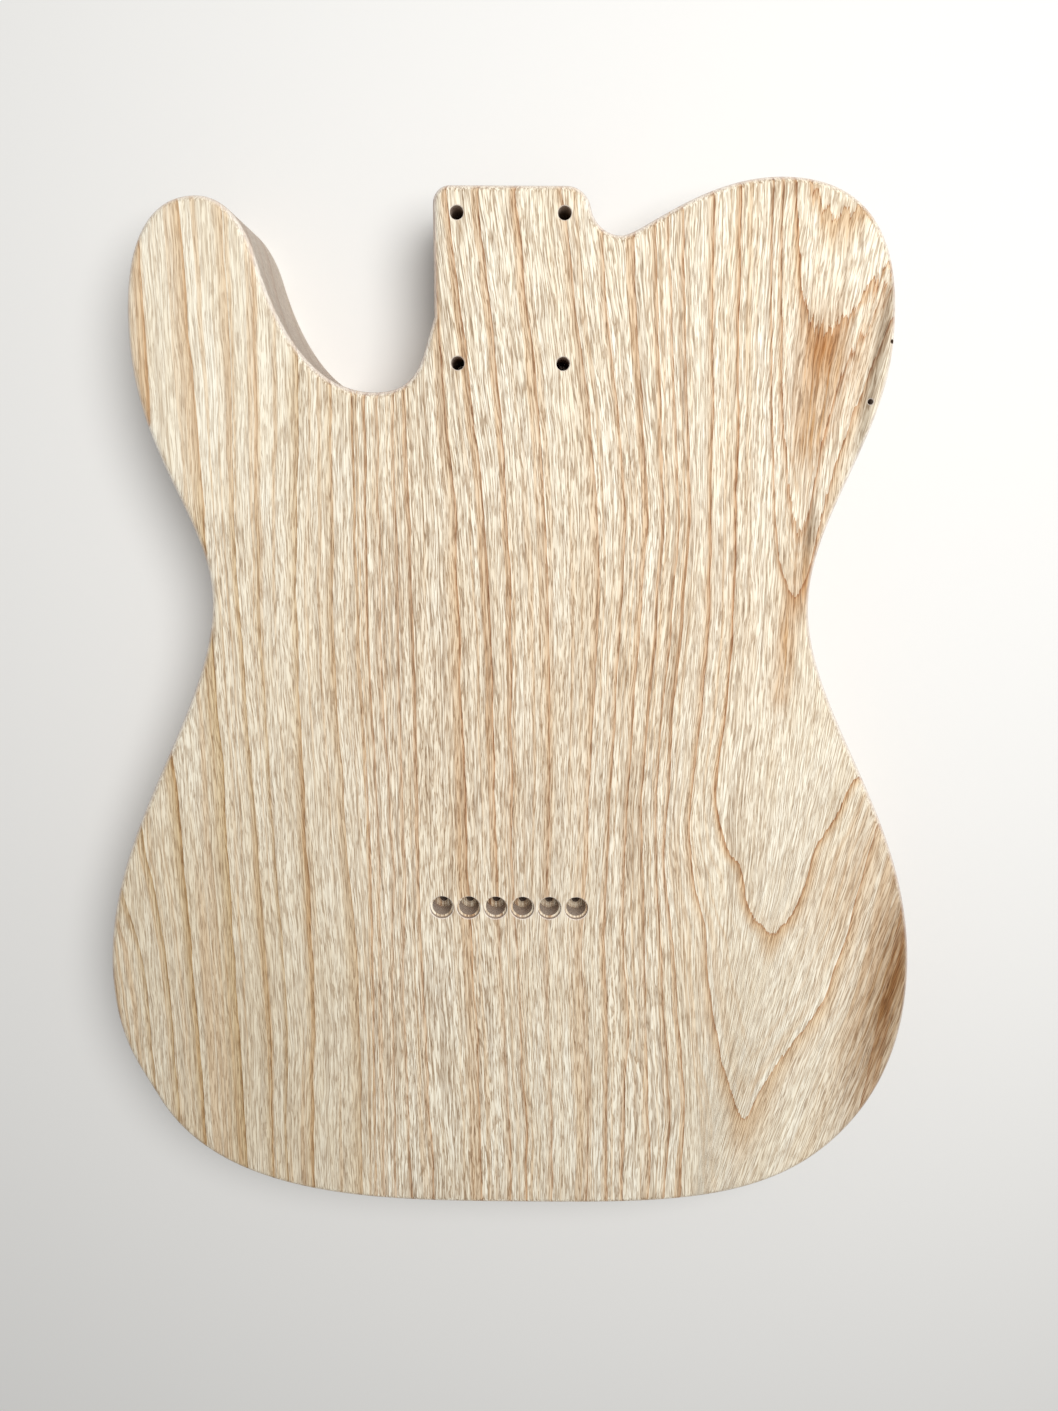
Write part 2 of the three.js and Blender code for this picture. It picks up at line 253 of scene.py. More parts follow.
def run(knots, shares):
    """Smooth stretches through a row of knots."""
    return [stretch(*ends) for ends in zip(knots, knots[1:], shares)]


def arc(centre, radius, begin, end, step=OUTLINE_STEP):
    """An arc from one angle to another, without its last point."""
    steps = max(CORNER_LEAST_STEPS, math.ceil(abs(end - begin) * radius / step))
    turn = begin + (end - begin) * np.arange(steps) / steps
    return np.asarray(centre) + radius * np.column_stack([np.cos(turn), np.sin(turn)])


def straight(start, end, step=OUTLINE_STEP):
    """A straight line of points, without its last one."""
    start, end = np.array(start, float), np.array(end, float)
    steps = max(1, math.ceil(np.linalg.norm(end - start) / step))
    return start + (end - start) * (np.arange(steps) / steps)[:, None]


BOTTOM = knot(0, BOTTOM_Y, RIGHT)
HORN_TIP = knot(-HORN_TIP_OUT, TOP_Y - HORN_TIP_DROP, LEFT)


def bass_side():
    """From the bottom edge up to the dip beside the heel."""
    corner_x = LOWER_BOUT_WIDTH / 2 - BASS_CORNER_INSET
    corner = knot(corner_x, BOTTOM_Y + BASS_CORNER_UP, BASS_CORNER_TURN)
    bout = knot(LOWER_BOUT_WIDTH / 2, BOTTOM_Y + LOWER_BOUT_UP, UP)
    waist = knot(WAIST_WIDTH / 2, BOTTOM_Y + WAIST_UP, UP)
    upper = knot(UPPER_BOUT_WIDTH / 2, TOP_Y - UPPER_BOUT_DROP, UP)
    shoulder = knot(SHOULDER_OUT, TOP_Y, LEFT)
    dip = knot(DIP_OUT, TOP_Y - DIP_DROP, LEFT)
    return run([BOTTOM, corner, bout, waist, upper, shoulder, dip], BASS_SHARES)


def heel():
    """The dip's hollow arc, the heel's round corner, its end, its other corner and its side."""
    hollow = np.array([DIP_OUT, TOP_Y - DIP_DROP + DIP_RADIUS])
    corner_y = HEEL_Y - HEEL_BASS_RADIUS
    reach = DIP_RADIUS + HEEL_BASS_RADIUS
    across = math.sqrt(reach**2 - (hollow[1] - corner_y) ** 2)
    corner = np.array([hollow[0] - across, corner_y])
    meeting = math.atan2(corner[1] - hollow[1], corner[0] - hollow[0])
    if meeting > DOWN:
        meeting -= 2 * math.pi
    treble = np.array([-HEEL_OUT + HEEL_TREBLE_RADIUS, HEEL_Y - HEEL_TREBLE_RADIUS])
    return [
        arc(hollow, DIP_RADIUS, DOWN, meeting),
        arc(corner, HEEL_BASS_RADIUS, meeting + math.pi, UP),
        straight((corner[0], HEEL_Y), (treble[0], HEEL_Y)),
        arc(treble, HEEL_TREBLE_RADIUS, UP, LEFT),
        straight((-HEEL_OUT, treble[1]), (-HEEL_OUT, HEEL_Y - HEEL_SIDE)),
    ]


def cutaway():
    """From the heel's side round the cutaway's floor to the horn's tip."""
    start = knot(-HEEL_OUT, HEEL_Y - HEEL_SIDE, CUTAWAY_TURN)
    floor = knot(-CUTAWAY_OUT, HEEL_Y - CUTAWAY_DEPTH, LEFT)
    face_y = TOP_Y - HORN_TIP_DROP - HORN_FACE_DROP
    face = knot(-HORN_TIP_OUT + HORN_FACE_IN, face_y, HORN_FACE_TURN)
    return run([start, floor, face, HORN_TIP], CUTAWAY_SHARES)


def treble_side():
    """From the horn's tip down to the bottom edge."""
    upper = knot(-UPPER_BOUT_WIDTH / 2, TOP_Y - UPPER_BOUT_DROP, DOWN)
    waist = knot(-WAIST_WIDTH / 2, BOTTOM_Y + WAIST_UP, DOWN)
    bout = knot(-LOWER_BOUT_WIDTH / 2, BOTTOM_Y + LOWER_BOUT_UP, DOWN)
    corner_x = TREBLE_CORNER_INSET - LOWER_BOUT_WIDTH / 2
    corner = knot(corner_x, BOTTOM_Y + TREBLE_CORNER_UP, TREBLE_CORNER_TURN)
    return run([HORN_TIP, upper, waist, bout, corner, BOTTOM], TREBLE_SHARES)


def circle(radius):
    return arc((0, 0), radius, 0, 2 * math.pi, BORE_STEP)


def round_box(width, length, corner):
    """A box with round corners about the origin, counterclockwise."""
    in_x, in_y = width / 2 - corner, length / 2 - corner
    return np.vstack([
        arc((in_x, in_y), corner, RIGHT, UP),
        straight((in_x, length / 2), (-in_x, length / 2)),
        arc((-in_x, in_y), corner, UP, LEFT),
        straight((-width / 2, in_y), (-width / 2, -in_y)),
        arc((-in_x, -in_y), corner, LEFT, LEFT + UP),
        straight((-in_x, -length / 2), (in_x, -length / 2)),
        arc((in_x, -in_y), corner, DOWN, RIGHT),
        straight((width / 2, -in_y), (width / 2, in_y)),
    ])


def sharp_box(width, length):
    w, h = width / 2, length / 2
    corners = [(w, h), (-w, h), (-w, -h), (w, -h)]
    sides = zip(corners, corners[1:] + corners[:1])
    return np.vstack([straight(a, b, WALL_STEP) for a, b in sides])


# Meshes


def grown(outline, by):
    """The outline moved outwards by a distance, square to its own run."""
    before = outline - np.roll(outline, 1, axis=0)
    after = np.roll(outline, -1, axis=0) - outline
    before /= np.linalg.norm(before, axis=1)[:, None]
    after /= np.linalg.norm(after, axis=1)[:, None]
    outwards = np.column_stack([before[:, 1] + after[:, 1], -before[:, 0] - after[:, 0]])
    reach = 1 + (before * after).sum(1)
    return outline + by * outwards / reach[:, None]


def crossings(outline, y):
    """Where a level line crosses an outline, in pairs from left to right."""
    a, b = outline, np.roll(outline, -1, axis=0)
    hit = (a[:, 1] <= y) != (b[:, 1] <= y)
    share = (y - a[hit, 1]) / (b[hit, 1] - a[hit, 1])
    return np.sort(a[hit, 0] + share * (b[hit, 0] - a[hit, 0])).reshape(-1, 2)


def inside_row(outline, xs, y):
    kept = np.zeros(len(xs), bool)
    for low, high in crossings(outline, y):
        kept |= (xs > low + CAP_MARGIN) & (xs < high - CAP_MARGIN)
    return kept


def cap(outline, step):
    """Grid points inside an outline, and triangles over the outline's points and then those."""
    low, high = outline.min(0), outline.max(0)
    xs = np.arange(low[0] + step[0] / 2, high[0], step[0])
    inner = [np.zeros((0, 2))]
    for y in np.arange(low[1] + step[1] / 2, high[1], step[1]):
        near = (y - CAP_MARGIN, y, y + CAP_MARGIN)
        kept = np.all([inside_row(outline, xs, level) for level in near], axis=0)
        inner.append(np.column_stack([xs[kept], np.full(kept.sum(), y)]))
    inner = np.vstack(inner)
    points = [Vector(p) for p in np.vstack([outline, inner])]
    rim = [(i, (i + 1) % len(outline)) for i in range(len(outline))]
    made = delaunay_2d_cdt(points, rim, [], CDT_INSIDE_ONLY, CDT_NEARNESS)
    number = [ids[0] for ids in made[3]]
    return inner, [[number[i] for i in face] for face in made[2]]


def prism(name, outline, levels, step=FLOOR_STEP, material=ROUTED):
    """A closed piece whose sides follow an outline. A level is the outline's growth and height."""
    count = len(outline)
    rings = [grown(outline, grow) for grow, _ in levels]
    heights = [z for _, z in levels]
    low_inner, low_faces = cap(rings[0], step)
    high_inner, high_faces = cap(rings[-1], step)
    flats = [*rings, low_inner, high_inner]
    tall = [*heights, heights[0], heights[-1]]
    layers = [np.column_stack([flat, np.full(len(flat), z)]) for flat, z in zip(flats, tall)]
    points = np.vstack(layers)
    low_start = count * len(rings)
    high_start = low_start + len(low_inner)
    last = count * (len(rings) - 1)
    faces = []
    for level in range(len(rings) - 1):
        for i in range(count):
            j = (i + 1) % count
            a, b = level * count, (level + 1) * count
            faces.append((a + i, a + j, b + j, b + i))
    for face in low_faces:
        faces.append([i if i < count else low_start + i - count for i in reversed(face)])
    for face in high_faces:
        faces.append([last + i if i < count else high_start + i - count for i in face])
    mesh = bpy.data.meshes.new(name)
    mesh.from_pydata(points * MM, [], faces)
    for _ in (SANDED, ROUTED):
        mesh.materials.append(None)
    mesh.polygons.foreach_set("material_index", np.full(len(faces), material, np.int32))
    return linked(name, mesh)


def placed(piece, x, y, z=0, turn=None):
    """Moves a cutter's points to its place."""
    move = Matrix.Translation(Vector((x, y, z)) * MM)
    piece.data.transform(move if turn is None else move @ turn)
    return piece


def removed(piece):
    mesh = piece.data
    bpy.data.objects.remove(piece)
    bpy.data.meshes.remove(mesh)


def joined(piece, other, operation):
    """Joins, cuts or keeps the piece by the other one, which is used up."""
    modifier = piece.modifiers.new(operation, "BOOLEAN")
    modifier.operation = operation
    modifier.solver = "MANIFOLD"
    modifier.material_mode = "INDEX"
    modifier.object = other
    bpy.context.view_layer.update()
    graph = bpy.context.evaluated_depsgraph_get()
    shaped = bpy.data.meshes.new_from_object(piece.evaluated_get(graph))
    piece.modifiers.clear()
    old = piece.data
    piece.data = shaped
    bpy.data.meshes.remove(old)
    removed(other)
    return piece


def heights_between(low, high):
    """Heights for the sides' levels, with both ends."""
    return np.linspace(low, high, max(2, math.ceil((high - low) / WALL_STEP) + 1))


# The blank and its cutters


def blank():
    """The whole blank, with a quarter round along both rims."""
    quarter = np.linspace(0, UP, RIM_STEPS + 1)
    inset = RIM_RADIUS * (np.sin(quarter) - 1)
    rise = RIM_RADIUS * (1 - np.cos(quarter))
    lower = list(zip(inset, rise))
    upper = [(grow, THICKNESS - z) for grow, z in reversed(lower)]
    side = [(0, z) for z in heights_between(RIM_RADIUS, THICKNESS - RIM_RADIUS)]
    levels = lower[:-1] + side + upper[1:]
    outline = np.vstack([*bass_side(), *heel(), *cutaway(), *treble_side()])
    return prism("blank", outline, levels, CAP_STEP, SANDED)


def from_front(name, outline, depth, x, y, turn=0):
    """A router's or drill's cutter from below the front face, with an eased mouth."""
    side = [(0, z) for z in heights_between(MOUTH_EASE, depth)]
    levels = [(MOUTH_EASE, -OVERRUN), (MOUTH_EASE, 0), *side]
    return placed(prism(name, outline, levels), x, y, 0, Matrix.Rotation(turn, 4, "Z"))


def from_back(name, diameter, depth, x, y):
    """A drill's cutter from above the back face, with an eased mouth."""
    side = [(0, z) for z in heights_between(THICKNESS - depth, THICKNESS - MOUTH_EASE)]
    levels = [*side, (MOUTH_EASE, THICKNESS), (MOUTH_EASE, THICKNESS + OVERRUN)]
    return placed(prism(name, circle(diameter / 2), levels), x, y)


def drilled_along_x(name, diameter, low_x, high_x):
    """A drill's cutter along X, about the X axis."""
    side = [(0, z) for z in heights_between(low_x, high_x)]
    rod = prism(name, circle(diameter / 2), side)
    return placed(rod, 0, 0, 0, Matrix.Rotation(UP, 4, "Y"))


def neck_cutters():
    length = NECK_POCKET_LENGTH + OVERRUN
    shape = round_box(NECK_POCKET_WIDTH, length, NECK_POCKET_CORNER)
    cutters = [from_front("neck_pocket", shape, NECK_POCKET_DEPTH, 0, POCKET_END_Y + length / 2)]
    first_y = HEEL_Y - NECK_SCREW_SETBACK
    for y in (first_y, first_y - NECK_SCREW_ALONG):
        for x in (-NECK_SCREW_ACROSS / 2, NECK_SCREW_ACROSS / 2):
            cutters.append(from_back("neck_screw", NECK_SCREW_BORE, THICKNESS + OVERRUN, x, y))
    return cutters


def string_cutters():
    cutters = []
    for i in range(STRING_COUNT):
        place = ((i - (STRING_COUNT - 1) / 2) * STRING_PITCH, STRING_ROW_Y)
        cutters += [
            from_back("flange", FLANGE_BORE, FLANGE_DEPTH, *place),
            from_back("ferrule", FERRULE_BORE, FERRULE_DEPTH, *place),
            from_front("string", circle(STRING_BORE / 2), THICKNESS - FLANGE_DEPTH, *place),
        ]
    return cutters


def pickup_cutters():
    neck = round_box(NECK_PICKUP_WIDTH, NECK_PICKUP_LENGTH, PICKUP_CORNER)
    bridge = round_box(BRIDGE_PICKUP_WIDTH, BRIDGE_PICKUP_LENGTH, PICKUP_CORNER)
    bridge_place = (0, BRIDGE_PICKUP_Y, BRIDGE_PICKUP_SLANT)
    return [
        from_front("neck_pickup", neck, NECK_PICKUP_DEPTH, 0, NECK_PICKUP_Y),
        from_front("bridge_pickup", bridge, BRIDGE_PICKUP_DEPTH, *bridge_place),
    ]


def control_cutters():
    shape = round_box(CONTROL_WIDTH, CONTROL_LENGTH, CONTROL_CORNER)
    middle_y = (CONTROL_TOP_Y + CONTROL_FOOT_Y) / 2
    outer_x = -LOWER_BOUT_WIDTH / 2 - OVERRUN
    jack = drilled_along_x("jack", JACK_BORE, outer_x, CONTROL_X)
    return [
        from_front("control", shape, THICKNESS - CONTROL_FLOOR, CONTROL_X, middle_y),
        placed(jack, 0, JACK_Y, THICKNESS / 2),
    ]


def wire_cutters():
    channel_length = NECK_PICKUP_Y - BRIDGE_PICKUP_Y
    shape = sharp_box(WIRE_CHANNEL_WIDTH, channel_length)
    channel_y = (NECK_PICKUP_Y + BRIDGE_PICKUP_Y) / 2
    reach = BRIDGE_PICKUP_WIDTH / 2 - BRIDGE_PICKUP_LENGTH / 2
    start_x = -reach * math.cos(BRIDGE_PICKUP_SLANT)
    start_y = BRIDGE_PICKUP_Y - reach * math.sin(BRIDGE_PICKUP_SLANT)
    bore = drilled_along_x("wire_bore", WIRE_BORE, CONTROL_X - start_x, 0)
    return [
        from_front("wire_channel", shape, WIRE_CHANNEL_DEPTH, -WIRE_CHANNEL_OUT, channel_y),
        placed(bore, start_x, start_y, WIRE_BORE_DROP, Matrix.Rotation(WIRE_BORE_SLANT, 4, "Y")),
    ]


def machined_body():
    tool, *others = [
        *neck_cutters(),
        *string_cutters(),
        *pickup_cutters(),
        *control_cutters(),
        *wire_cutters(),
        *(from_back("pin", width, PIN_DEPTH, x, y) for x, y, width in PIN_HOLES),
    ]
    for other in others:
        tool = joined(tool, other, "UNION")
    return joined(blank(), tool, "DIFFERENCE")


def sawn(body, name, low_x, high_x):
    """The part of the body between two planes across X, as a piece of its own."""
    piece = linked(name, body.data.copy())
    shape = sharp_box(high_x - low_x, BODY_LENGTH + 2 * OVERRUN)
    slab = prism("slab", shape, [(0, -OVERRUN), (0, THICKNESS + OVERRUN)])
    return joined(piece, placed(slab, (low_x + high_x) / 2, 0), "INTERSECT")


# Figure of the wood

# Growth-ring lines on the back face as (x, y) from the top down, numbered from the treble edge. The
# later ones are V's: the left limb ends in the tip, from which the right limb climbs again.
LEFT_LIMBS = {
    1: ((-158, -20), (-154.4, -67), (-149.4, -87), (-148.3, -104), (-146.7, -144)),
    2: ((-148, 60), (-145, -47), (-140.6, -74), (-138.9, -94), (-138.9, -127), (-137.8, -154)),
    3: ((-132, 100), (-131.1, -11), (-128.9, -67), (-128.3, -127), (-127.9, -165)),
    4: ((-116.5, 200), (-114, 100), (-112, 0), (-110.6, -150), (-110, -200)),
    5: ((-101.8, 186), (-101.4, 133), (-102.8, 83), (-99.4, -57), (-97, -127), (-99.4, -177)),
    6: ((-90.8, 156), (-94.1, 89), (-95.2, 29), (-93.3, -47), (-91.4, -114), (-93.9, -177)),
    7: ((-76.7, 136), (-80.8, 59), (-81.1, 19), (-80.5, -51), (-79.4, -94), (-82.8, -184)),
    8: ((-65, 128), (-66.7, 39), (-65.6, 0), (-61.4, -94), (-60.6, -130), (-61.7, -184)),
    9: ((-56.7, 116), (-57, 46), (-54.6, -34), (-54.8, -127), (-55.6, -161)),
    10: ((-53.2, 123), (-53.6, 49), (-52, -54), (-52.8, -127), (-52.8, -177)),
    11: ((-48.4, 123), (-49.2, 26), (-45.6, -54), (-47, -94), (-47.6, -171)),
    12: ((-42, 126), (-42, -7), (-41.1, -54), (-43.7, -101), (-41.1, -187)),
    13: ((-39.2, 126), (-37, 26), (-36.4, -77), (-34.4, -127), (-32.2, -191)),
    14: (
        (-28, 196), (-25.3, 149), (-20.3, 89), (-18.3, 9), (-15.6, -57), (-12.6, -127),
        (-10.9, -191),
    ),
    15: (
        (-23.1, 196), (-17.6, 156), (-10.3, 99), (-6.7, 39), (-4.8, -47), (-1.4, -127), (1.6, -177),
    ),
    16: ((-11.4, 196), (-3.7, 123), (0.2, 66), (0.8, -41), (4.7, -127), (7.4, -167)),
    17: ((1.9, 196), (10.2, 123), (14.9, 46), (15.8, -57), (14.7, -81), (18.6, -164)),
    18: ((17, 200), (20.2, 183), (30.2, 116), (34.4, 63), (30.4, -67), (29.7, -84), (33.6, -161)),
    19: ((32.4, 179), (41.3, 109), (43, 83), (38.9, -77), (41.9, -170)),
    20: ((43.6, 179), (50.8, 96), (51.1, 79), (46, -37), (45.6, -77), (49.1, -117), (48.2, -177)),
    21: ((51.3, 186), (57.4, 79), (51.9, -21), (55.8, -111), (60, -180)),
    22: ((55.8, 186), (63.6, 83), (57.4, -24), (63.6, -114), (68, -161), (66.7, -187)),
    23: ((59.7, 189), (66.6, 90), (60.6, -44), (66.4, -94), (70.2, -124), (72.7, -161)),
    24: (
        (71.9, 196), (74.1, 103), (76, 50), (71.1, -31), (73, -58), (79, -79), (80.4, -97),
        (83, -115), (86.5, -132), (91, -145), (98, -163),
    ),
    25: (
        (80.8, 196), (84.4, 59), (84.9, 43), (79.5, -20), (80.5, -29), (85.5, -47), (92.3, -53),
        (93.5, -65), (98.3, -76), (105.5, -81),
    ),
    26: ((93, 185), (96, 123), (99.7, 83), (101.3, 69), (107, 57)),
    27: ((95, 185), (98.6, 119), (104.7, 83), (108, 75)),
    28: ((99.6, 203), (101.9, 179), (103, 166), (106, 155), (108, 153)),
    29: ((105, 203), (106, 198), (110, 191)),
}
RIGHT_LIMBS = {
    22: ((190, 60), (172, -60), (166, -114), (160, -154), (154, -190)),
    23: ((176, 40), (158.5, -50), (156.3, -71), (152, -114), (147.4, -154), (142, -190)),
    24: (
        (160, 30), (143.2, -40), (140.3, -53), (138, -65), (136.2, -81), (132, -93), (129.5, -106),
        (125, -116), (117.4, -126), (110, -137), (102.4, -149), (98, -163),
    ),
    25: (
        (152, 6), (136.5, -16), (132.8, -19), (130.3, -28), (125.8, -37), (121.2, -43), (120, -53),
        (118, -62), (112.5, -76), (105.5, -81),
    ),
    26: ((146, 180), (137, 160), (124, 125), (118, 105), (114, 85), (110.5, 66), (107, 57)),
    27: (
        (140, 175), (134, 165), (128, 155), (121, 140), (116, 128), (113, 109), (111.9, 83),
        (108, 75),
    ),
    28: ((140, 181), (134, 171), (131, 169), (125, 158), (120, 154), (118, 153)),
    29: ((138, 203), (132, 197), (127, 193), (120, 191)),
}

# The crest between the limbs: height, its two sides, and the ring's number there
CREST = (
    (-210, 92, 94, 23.5),
    (-163, 97.5, 98.5, 24),
    (-81, 104, 107, 25),
    (-10, 105, 107, 25.4),
    (25, 104, 107, 25.6),
    (57, 107, 107, 26),
    (75, 108, 108, 27),
    (120, 107, 112, 27.5),
    (153, 108, 118, 28),
    (191, 110, 120, 29),
    (210, 108, 124, 29.4),
)

# How strong each ring's dark latewood is, and the share of the ring that it takes up
RING_STRENGTHS = (
    0.5, 0.5, 0.7, 0.8, 0.9, 0.75, 0.6, 0.6, 0.75, 0.55, 0.6, 0.55, 0.6, 0.6, 0.7, 0.85, 0.8, 0.75,
    0.7, 0.7, 0.75, 0.75, 0.75, 0.7, 0.85, 0.8, 1, 0.6, 1, 0.9,
)
RING_SHARES = (
    0.3, 0.3, 0.35, 0.45, 0.5, 0.4, 0.35, 0.35, 0.4, 0.3, 0.3, 0.3, 0.32, 0.3, 0.32, 0.4, 0.35, 0.3,
    0.25, 0.35, 0.4, 0.5, 0.4, 0.4, 0.42, 0.2, 0.2, 0.2, 0.5, 0.5,
)

# How far along the fibres each ring's edge frays, in millimetres
PLAIN_FRAY = 5
RING_FRAYS = {27: 12, 28: 34, 29: 22}

# Where finer lines lie close together, as (x, half width, strength), and the strength elsewhere
FINE_BANDS = ((-34, 26, 0.4), (58, 14, 0.4), (92, 8, 0.4))
PLAIN_FINENESS = 0.6

# Lines that the fibres follow, as (x, y) from the top down, each with the x by which it is known.
# Many are ring lines as well.
FIBRE_LINES = {
    -150: ((-152, 203), (-150, 0), (-147, -203)),
    -101: LEFT_LIMBS[5],
    -66: LEFT_LIMBS[8],
    -37: ((-42, 200), *LEFT_LIMBS[13]),
    -7: LEFT_LIMBS[15],
    15: LEFT_LIMBS[17],
    42: ((31, 190), *LEFT_LIMBS[19][1:]),
    60: LEFT_LIMBS[22],
    76: ((71.9, 196), (74.1, 103), (76, 50), (71.1, -31), (74.7, -61), (79, -127), (82, -200)),
    105: ((110, 203), (107, 150), (105, 100), (104, 0), (101, -60), (93, -120), (80, -200)),
    128: (
        (148, 203), (137, 160), (129, 120), (126, 80), (125, 20), (117, -40), (104, -110),
        (84, -200),
    ),
    155: (
        (190, 203), (172, 160), (159, 120), (154, 80), (151, 20), (137, -40), (122, -110),
        (98, -200),
    ),
    180: (
        (232, 203), (210, 160), (192, 120), (186, 80), (180, 20), (163, -40), (145, -110),
        (120, -200),
    ),
}

# Marks as (x, y, half width, half length, lean of the long side, strength): the brown and the grey
# stains, and where ring lines are fainter. Stains fade with depth below the back face.
BROWN_MARKS = (
    (104.5, 33, 3.6, 17, -0.06, 1),
    (103.5, 18, 2.8, 4, 0, 0.8),
    (109.5, 66, 4, 20, -0.1, 0.8),
    (132, 156, 5, 16, -0.3, 0.4),
    (155, -100, 13, 70, -0.15, 1),
    (-5, 5, 80, 90, 0, 0.22),
    (85, 50, 35, 50, 0, 0.14),
    (113.5, 139, 12, 22, 0, 1),
    (109, 120, 5.5, 18, 0, 1),
    (133, -54, 11, 34, -0.35, 0.35),
)
GREY_MARKS = (
    (133, 146, 2.2, 24, -0.14, 1),
    (129, 120, 1.6, 12, -0.1, 0.6),
    (111.7, 80, 1.5, 10, -0.1, 1),
    (156.5, -102, 12, 64, -0.15, 0.65),
)
FAINT_RINGS = ((5, -115, 45, 60, 0, 0.5),)
STAIN_DEPTH = 40

# How far each board's rings slope across and along the body, from the back face to the front
BOARD_SLOPES = {"treble": (0.55, 0.4), "centre": (-0.7, 0.3), "bass": (0.7, 1.2)}
CREST_X = 105
CREST_REACH = 30

# What is added to a board's fibres, so that no board repeats the fine grain of another
BOARD_SHIFTS = {"treble": 0, "centre": 400, "bass": 800}

# Between which x the ring lines weaken towards the bass edge, and to what strength
EDGE_FADE = (138, 152)
EDGE_STRENGTH = 0.45

# The tables of rings and fibres: half sizes, step, blur across and along, and how many spreads of
# the blur count. OUTER_REACH and OUTER_RINGS carry a table on beyond its outermost lines.
TABLE_HALF = (240, 270)
TABLE_STEP = 0.5
TABLE_SOFTNESS = (1.2, 3)
BLUR_SPREADS = 3
LEAST_GAP = 0.3
LEAST_RINGS = 0.004
OUTER_REACH = 120
OUTER_RINGS = 10
JUST_INSIDE = 1.001
table_x, table_y = (np.arange(-half, half, TABLE_STEP) for half in TABLE_HALF)


def line_at(points, y):
    xs, ys = np.array(points[::-1], float).T
    return np.interp(y, ys, xs)


def softened(table):
    """A table blurred a little, so that no line has a kink."""
    for axis, softness in ((1, TABLE_SOFTNESS[0]), (0, TABLE_SOFTNESS[1])):
        reach = math.ceil(BLUR_SPREADS * softness / TABLE_STEP)
        weights = np.exp(-0.5 * (np.arange(-reach, reach + 1) * TABLE_STEP / softness) ** 2)
        weights /= weights.sum()
        pads = [(0, 0), (0, 0)]
        pads[axis] = (reach, reach)
        wide = np.pad(table, pads, mode="edge")
        table = np.apply_along_axis(np.convolve, axis, wide, weights, mode="valid")
    return table


def ring_table():
    """The number of the ring at every place of a grid, rising from line to line."""
    heights, lefts, rights, numbers = np.array(CREST).T
    rows = []
    for y in table_y:
        crest = np.interp(y, heights, numbers)
        left = [n for n in LEFT_LIMBS if n < crest]
        right = [n for n in sorted(RIGHT_LIMBS, reverse=True) if n < crest]
        places = [line_at(LEFT_LIMBS[n], y) for n in left]
        places += [np.interp(y, heights, lefts), np.interp(y, heights, rights)]
        places += [line_at(RIGHT_LIMBS[n], y) for n in right]
        values = [*left, crest, crest, *right]
        places = np.maximum.accumulate(places) + np.arange(len(places)) * LEAST_GAP / len(places)
        places = [places[0] - OUTER_REACH, *places, places[-1] + OUTER_REACH]
        values = [values[0] - OUTER_RINGS, *values, values[-1] - OUTER_RINGS]
        rows.append(np.interp(table_x, places, values))
    return softened(np.array(rows))


def fibre_table():
    """The x by which the fibre is known at every place of a grid."""
    names = list(FIBRE_LINES)
    names = [names[0] - OUTER_REACH, *names, names[-1] + OUTER_REACH]
    rows = []
    for y in table_y:
        places = [line_at(points, y) for points in FIBRE_LINES.values()]
        places = [places[0] - OUTER_REACH, *places, places[-1] + OUTER_REACH]
        rows.append(np.interp(table_x, places, names))
    return softened(np.array(rows))


def looked_up(table, x, y):
    """A table's values at points, straight between its own."""
    column = np.clip((x - table_x[0]) / TABLE_STEP, 0, len(table_x) - JUST_INSIDE)
    row = np.clip((y - table_y[0]) / TABLE_STEP, 0, len(table_y) - JUST_INSIDE)
    i, j = row.astype(int), column.astype(int)
    u, v = column - j, row - i
    low = table[i, j] * (1 - u) + table[i, j + 1] * u
    high = table[i + 1, j] * (1 - u) + table[i + 1, j + 1] * u
    return low * (1 - v) + high * v


def marked(marks, x, y):
    """How strong a set of soft long marks is at points."""
    total = np.zeros(len(x))
    for at_x, at_y, half_width, half_length, lean, strength in marks:
        along = (y - at_y) / half_length
        aside = (x - at_x + lean * (y - at_y)) / half_width
        total += strength * np.exp(-(along**2) - aside**2)
    return np.minimum(total, 1)


